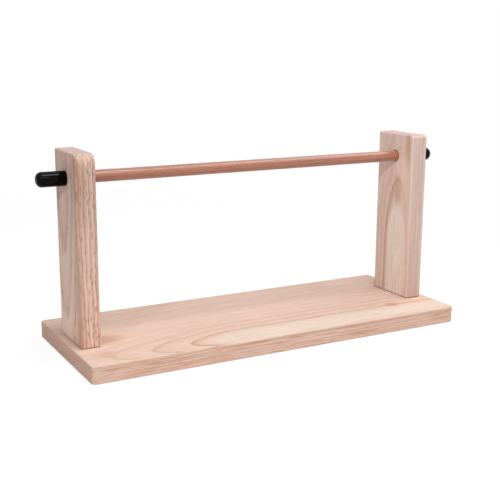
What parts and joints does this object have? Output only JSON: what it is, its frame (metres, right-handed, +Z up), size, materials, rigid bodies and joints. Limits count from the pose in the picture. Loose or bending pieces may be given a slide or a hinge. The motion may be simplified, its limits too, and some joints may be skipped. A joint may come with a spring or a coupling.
{
  "type": "yarn holder",
  "caption": "Tabletop wooden yarn holder: uprights on a flat base carry a free-turning round rod, kept in by push-on end caps, that draws out sideways to load yarn.",
  "frame": {"origin": "centre of the base board's underside, on the surface it stands on", "axes": "+X along the base and the rod, +Y to the back, +Z up"},
  "size_m": [0.3628, 0.127, 0.16],
  "materials": {
    "board_wood": "sanded bare rubberwood boards, satin",
    "rod_wood": "smooth turned dowel, reddish, satin",
    "cap_vinyl": "glossy black dip-moulded vinyl",
    "screw_steel": "zinc-plated steel"
  },
  "bodies": {
    "stand": {"base_board": "board_wood", "left_upright": "board_wood", "right_upright": "board_wood", "left_front_screw": "screw_steel", "left_back_screw": "screw_steel", "right_front_screw": "screw_steel", "right_back_screw": "screw_steel"},
    "right_cap": {"right_end_cap": "cap_vinyl"},
    "rod": {"spindle_rod": "rod_wood"},
    "left_cap": {"left_end_cap": "cap_vinyl"}
  },
  "joints": [
    {"name": "rod_spin", "type": "hinge", "parent": "stand", "child": "right_cap", "pos_m": [0, 0, 0.14], "axis": [1, 0, 0], "continuous": true},
    {"name": "rod_draw", "type": "slide", "parent": "right_cap", "child": "rod", "axis": [-1, 0, 0], "range_m": [0, 0.345]},
    {"name": "left_cap_pull", "type": "slide", "parent": "rod", "child": "left_cap", "axis": [-1, 0, 0], "range_m": [0, 0.03]}
  ]
}
